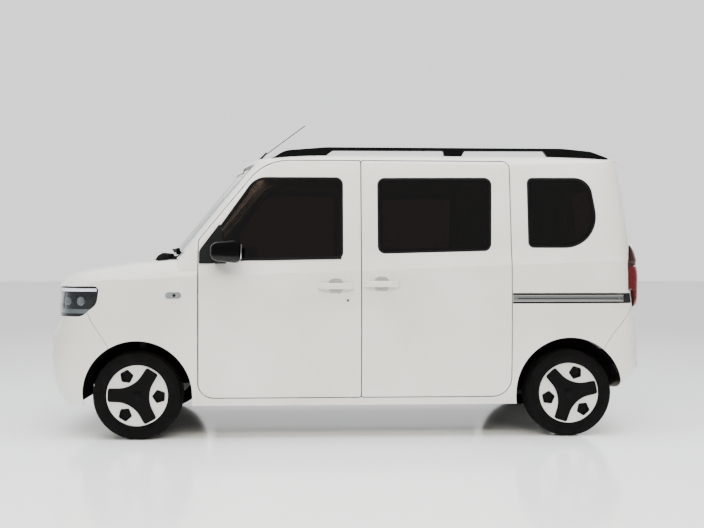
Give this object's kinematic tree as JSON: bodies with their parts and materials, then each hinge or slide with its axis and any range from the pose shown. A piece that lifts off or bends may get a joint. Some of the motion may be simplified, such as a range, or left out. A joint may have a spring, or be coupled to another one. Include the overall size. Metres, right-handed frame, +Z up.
{
  "type": "five-door microvan with sliding rear side doors, 3.7 m long",
  "caption": "Small tall van with hollow cabin, hinged front doors, bonnet and tailgate, steered front wheels and rolling wheels.",
  "frame": {"origin": "on the floor under the middle of the overall length", "axes": "+X towards the rear, +Y towards the vehicle's right side, +Z up"},
  "size_m": [3.6849, 1.81, 1.9914],
  "materials": {
    "paint": "pearl gloss",
    "black_trim": "matte",
    "gloss_black": "gloss",
    "glass": "tinted",
    "lamp_clear": "gloss",
    "lamp_red": "gloss",
    "tyre": "matte",
    "wheel": "satin",
    "steel": "painted matte",
    "structure": "satin",
    "seat": "woven",
    "inside": "grained",
    "battery": "satin"
  },
  "bodies": {
    "body": {"side_frame_left": "paint", "side_frame_right": "paint", "roof_panel": "paint", "floor_pan": "structure", "bulkhead": "structure", "fender_left": "paint", "fender_right": "paint", "front_bumper": "paint", "rear_bumper": "paint", "sliding_door_left": "paint", "sliding_door_right": "paint", "side_glass": "glass", "windscreen": "glass", "cowl_panel": "black_trim", "antenna": "black_trim", "roof_rails": "black_trim", "slide_rails": "steel", "headlamps": "lamp_clear", "tail_lamps": "lamp_red", "front_subframe": "steel", "rear_axle": "steel", "drive_unit": "battery", "battery_pack": "battery", "dashboard": "inside", "seat_left": "seat", "seat_right": "seat", "seat_rear": "seat"},
    "steering_wheel": {"steering_wheel": "inside"},
    "knuckle_left": {"knuckle_left": "steel"},
    "knuckle_right": {"knuckle_right": "steel"},
    "door_left": {"door_front_left": "paint", "door_glass_left": "glass", "mirror_left": "gloss_black"},
    "door_right": {"door_front_right": "paint", "door_glass_right": "glass", "mirror_right": "gloss_black"},
    "bonnet": {"bonnet": "paint"},
    "tailgate": {"tailgate": "paint", "tailgate_glass": "glass"},
    "wheel_front_left": {"tyre_front_left": "tyre", "wheel_front_left": "wheel"},
    "wheel_front_right": {"tyre_front_right": "tyre", "wheel_front_right": "wheel"},
    "wheel_rear_left": {"tyre_rear_left": "tyre", "wheel_rear_left": "wheel"},
    "wheel_rear_right": {"tyre_rear_right": "tyre", "wheel_rear_right": "wheel"}
  },
  "joints": [
    {"name": "steer_left", "type": "hinge", "parent": "body", "child": "knuckle_left", "pos_m": [-1.245, -0.595, 0.264], "axis": [0, 0, 1], "range_deg": [-35, 35]},
    {"name": "steer_right", "type": "hinge", "parent": "body", "child": "knuckle_right", "pos_m": [-1.245, 0.595, 0.264], "axis": [0, 0, 1], "range_deg": [-35, 35]},
    {"name": "steering_wheel_turn", "type": "hinge", "parent": "body", "child": "steering_wheel", "pos_m": [-0.69, -0.335, 0.965], "axis": [0.9063, 0, 0.4226], "range_deg": [-525, 525]},
    {"name": "roll_front_left", "type": "hinge", "parent": "knuckle_left", "child": "wheel_front_left", "pos_m": [-1.245, -0.655, 0.264], "axis": [0, 1, 0], "continuous": true},
    {"name": "roll_front_right", "type": "hinge", "parent": "knuckle_right", "child": "wheel_front_right", "pos_m": [-1.245, 0.655, 0.264], "axis": [0, 1, 0], "continuous": true},
    {"name": "roll_rear_left", "type": "hinge", "parent": "body", "child": "wheel_rear_left", "pos_m": [1.355, -0.655, 0.264], "axis": [0, 1, 0], "continuous": true},
    {"name": "roll_rear_right", "type": "hinge", "parent": "body", "child": "wheel_rear_right", "pos_m": [1.355, 0.655, 0.264], "axis": [0, 1, 0], "continuous": true},
    {"name": "door_left_open", "type": "hinge", "parent": "body", "child": "door_left", "pos_m": [-0.915, -0.73629, 0.65], "axis": [0, 0, -1], "range_deg": [0, 65]},
    {"name": "door_right_open", "type": "hinge", "parent": "body", "child": "door_right", "pos_m": [-0.915, 0.73629, 0.65], "axis": [0, 0, 1], "range_deg": [0, 65]},
    {"name": "bonnet_open", "type": "hinge", "parent": "body", "child": "bonnet", "pos_m": [-1.094, 0, 1.05604], "axis": [0, 1, 0], "range_deg": [0, 55]},
    {"name": "tailgate_open", "type": "hinge", "parent": "body", "child": "tailgate", "pos_m": [1.637, 0, 1.69713], "axis": [0, -1, 0], "range_deg": [0, 80]}
  ],
  "couplings": [
    {"joint": "steer_right", "follows": "steer_left", "ratio": 1},
    {"joint": "steering_wheel_turn", "follows": "steer_left", "ratio": 15}
  ]
}
